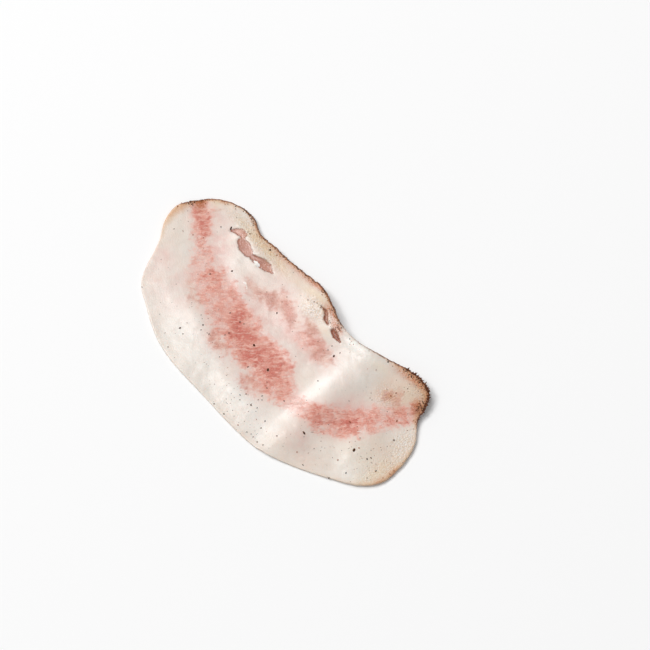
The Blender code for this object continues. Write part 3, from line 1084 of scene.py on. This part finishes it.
def add_crumb(mesh, draw, place, normal, size):
    """Adds one angular grain, part sunk into what it lies on."""
    made = bmesh.ops.create_icosphere(mesh, subdivisions=1, radius=size / 2.0)
    grow = Vector((draw.uniform(0.8, 1.7), draw.uniform(0.6, 1.0), draw.uniform(0.4, 0.75)))
    for vertex in made["verts"]:
        vertex.co *= draw.uniform(0.65, 1.25)
        vertex.co *= grow
    turn = normal.to_track_quat("Z", "Y").to_matrix().to_4x4()
    spin = Matrix.Rotation(draw.uniform(0.0, 2.0 * math.pi), 4, "Z")
    lift = Matrix.Translation(place + normal * size * 0.10)
    bmesh.ops.transform(mesh, matrix=lift @ turn @ spin, verts=made["verts"])


def add_shred(mesh, draw, root, way, length):
    """Adds one thin, tapered, uneven shred."""
    width = draw.uniform(*SHRED_WIDTHS)
    made = bmesh.ops.create_cone(mesh, cap_ends=True, segments=6, radius1=width,
                                 radius2=width * 0.4, depth=length)
    for vertex in made["verts"]:
        vertex.co.x *= draw.uniform(0.6, 1.3)
        vertex.co.y *= draw.uniform(0.6, 1.3)
    turn = way.to_track_quat("Z", "Y").to_matrix().to_4x4()
    middle = Matrix.Translation(root + way.normalized() * length * 0.35)
    bmesh.ops.transform(mesh, matrix=middle @ turn, verts=made["verts"])


def joined_piece(name, add_one, grains, material, seed):
    """One mesh of many grains, each in millimetres as add_one takes it."""
    draw = random.Random(seed)
    mesh = bmesh.new()
    for grain in grains:
        add_one(mesh, draw, *grain)
    bmesh.ops.scale(mesh, vec=(METRES, METRES, METRES), verts=mesh.verts)
    data = bpy.data.meshes.new(name)
    mesh.to_mesh(data)
    mesh.free()
    data.materials.append(material)
    return linked(name, data)


# --- stage

def add_floor():
    bpy.ops.mesh.primitive_plane_add(size=FLOOR_SIZE)
    floor = bpy.context.object
    floor.name = "floor"
    floor.data.materials.append(Shade("floor").finish({
        "Base Color": (FLOOR_WHITE, FLOOR_WHITE, FLOOR_WHITE, 1.0),
        "Roughness": 0.6,
        "Specular IOR Level": 0.0,
    }))


def add_camera():
    data = bpy.data.cameras.new("camera")
    data.lens = CAMERA_LENS
    data.sensor_width = SENSOR_WIDTH
    camera = linked("camera", data)
    camera.location = (CAMERA_TARGET - LOOK * CAMERA_DISTANCE) * METRES
    camera.rotation_euler = LOOK.to_track_quat("-Z", "Y").to_euler()
    bpy.context.scene.camera = camera


def add_lights():
    """Soft square lamps that face the slice, placed in the viewer's directions."""
    for name, side, away, height, size, power in LAMPS:
        data = bpy.data.lights.new(name, "AREA")
        data.size = size
        data.energy = power
        lamp = linked(name, data)
        lamp.location = RIGHT * side + AWAY * away + Vector((0.0, 0.0, height))
        lamp.rotation_euler = (-lamp.location).to_track_quat("-Z", "Y").to_euler()


def add_world():
    """An even white room: bright where the camera sees it, dimmer as a light."""
    world = bpy.data.worlds.new("studio")
    world.use_nodes = True
    nodes = world.node_tree.nodes
    links = world.node_tree.links
    room = nodes["Background"]
    backdrop = nodes.new("ShaderNodeBackground")
    for background, strength in ((room, ROOM_LIGHT), (backdrop, ROOM_SEEN)):
        background.inputs["Color"].default_value = (1.0, 1.0, 1.0, 1.0)
        background.inputs["Strength"].default_value = strength
    mix = nodes.new("ShaderNodeMixShader")
    links.new(nodes.new("ShaderNodeLightPath").outputs["Is Camera Ray"], mix.inputs["Fac"])
    links.new(room.outputs[0], mix.inputs[1])
    links.new(backdrop.outputs[0], mix.inputs[2])
    links.new(mix.outputs[0], nodes["World Output"].inputs["Surface"])
    bpy.context.scene.world = world
    bpy.context.scene.view_settings.view_transform = "Standard"


# --- assembly

def main():
    draw = random.Random(SEED)
    guanciale, edge, crust = build_slice(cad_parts[NODE])
    guanciale.data.materials.append(cured_pork())
    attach(guanciale, "root")
    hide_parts(NODE)

    tree = mesh_tree(guanciale)
    pepper_grains = chosen_specks(tree, PEPPER) + scattered_specks(tree, *PEPPER_DUST, draw)
    spice_grains = chosen_specks(tree, SPICE) + scattered_specks(tree, *SPICE_DUST, draw)
    crust_grains = rim_crumbs(tree, edge, crust, CRUST_CRUMBS, draw)
    dark_grains = rim_crumbs(tree, edge, crust, DARK_CRUMBS, draw) + crumb_clusters(tree, draw)
    shreds = rim_shreds(tree, edge, draw)
    looks = {name: grain_material(name) for name in GRAIN_LOOKS}
    for piece in (
        joined_piece("pepper_specks", add_crumb, pepper_grains, looks["pepper"], SEED + 1),
        joined_piece("spice_specks", add_crumb, spice_grains, looks["spice"], SEED + 2),
        joined_piece("crust_crumbs", add_crumb, crust_grains, looks["crust"], SEED + 3),
        joined_piece("crust_pepper", add_crumb, dark_grains, looks["pepper"], SEED + 4),
        joined_piece("crust_shreds", add_shred, shreds, looks["char"], SEED + 5),
    ):
        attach(piece, "root")

    add_floor()
    add_camera()
    add_lights()
    add_world()


main()
